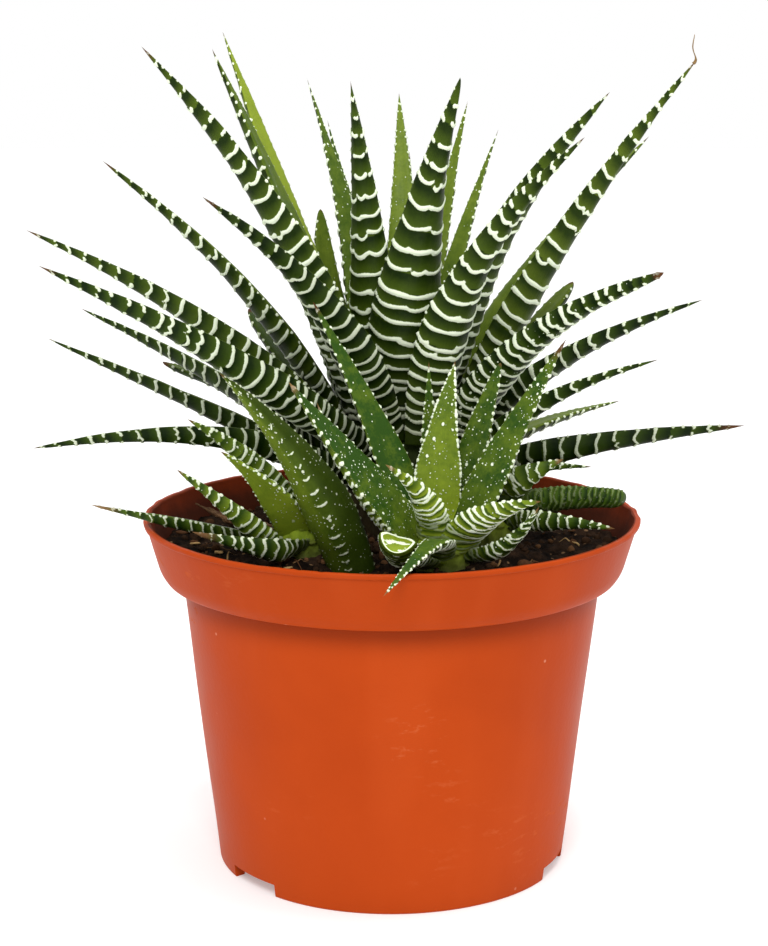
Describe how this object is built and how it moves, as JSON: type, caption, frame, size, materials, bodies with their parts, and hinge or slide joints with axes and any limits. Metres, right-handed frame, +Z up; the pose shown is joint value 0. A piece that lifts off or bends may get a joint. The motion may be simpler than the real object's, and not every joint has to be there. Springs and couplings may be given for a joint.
{
  "type": "potted haworthia",
  "caption": "Zebra-striped haworthia rosette with young offsets in peat, in a round terracotta-coloured plastic nursery pot with a deep rim band and a notched foot.",
  "frame": {"origin": "middle of the pot's underside, on the surface it stands on", "axes": "+Z up along the pot's axis, -Y towards the front, where the offsets grow, +X to the front's right"},
  "size_m": [0.1705, 0.1318, 0.201],
  "materials": {
    "pot_plastic": "satin",
    "peat": "matte",
    "stem": "satin",
    "rosette_leaf": "satin",
    "offset_leaf": "satin",
    "dried_leaf": "matte"
  },
  "bodies": {
    "root": {"pot": "pot_plastic", "soil": "peat", "rosette_crown": "stem", "rosette_leaf_01": "rosette_leaf", "rosette_leaf_02": "rosette_leaf", "rosette_leaf_03": "rosette_leaf", "rosette_leaf_04": "rosette_leaf", "rosette_leaf_05": "rosette_leaf", "rosette_leaf_06": "rosette_leaf", "rosette_leaf_07": "rosette_leaf", "rosette_leaf_08": "rosette_leaf", "rosette_leaf_09": "rosette_leaf", "rosette_leaf_10": "rosette_leaf", "rosette_leaf_11": "rosette_leaf", "rosette_leaf_12": "rosette_leaf", "rosette_leaf_13": "rosette_leaf", "rosette_leaf_14": "rosette_leaf", "rosette_leaf_15": "rosette_leaf", "rosette_leaf_16": "rosette_leaf", "rosette_leaf_17": "rosette_leaf", "rosette_leaf_18": "rosette_leaf", "rosette_leaf_19": "rosette_leaf", "rosette_leaf_20": "rosette_leaf", "rosette_leaf_21": "rosette_leaf", "rosette_leaf_22": "rosette_leaf", "rosette_leaf_23": "rosette_leaf", "rosette_leaf_24": "rosette_leaf", "rosette_leaf_25": "rosette_leaf", "rosette_leaf_26": "rosette_leaf", "rosette_leaf_27": "rosette_leaf", "rosette_leaf_28": "rosette_leaf", "rosette_leaf_29": "rosette_leaf", "rosette_leaf_30": "rosette_leaf", "rosette_leaf_31": "rosette_leaf", "front_offset_crown": "stem", "left_offset_crown": "stem", "right_offset_crown": "stem", "front_offset_leaf_01": "offset_leaf", "front_offset_leaf_02": "offset_leaf", "front_offset_leaf_03": "offset_leaf", "front_offset_leaf_04": "offset_leaf", "front_offset_leaf_05": "offset_leaf", "front_offset_leaf_06": "offset_leaf", "front_offset_leaf_07": "offset_leaf", "front_offset_leaf_08": "offset_leaf", "front_offset_leaf_09": "offset_leaf", "front_offset_leaf_10": "offset_leaf", "front_offset_leaf_11": "offset_leaf", "front_offset_leaf_12": "offset_leaf", "left_offset_leaf_01": "offset_leaf", "left_offset_leaf_02": "offset_leaf", "left_offset_leaf_03": "offset_leaf", "left_offset_leaf_04": "offset_leaf", "left_offset_leaf_05": "offset_leaf", "right_offset_leaf_01": "offset_leaf", "right_offset_leaf_02": "offset_leaf", "right_offset_leaf_03": "offset_leaf", "right_offset_leaf_04": "offset_leaf", "front_shoot_leaf": "offset_leaf", "dried_leaf": "dried_leaf"}
  },
  "joints": []
}
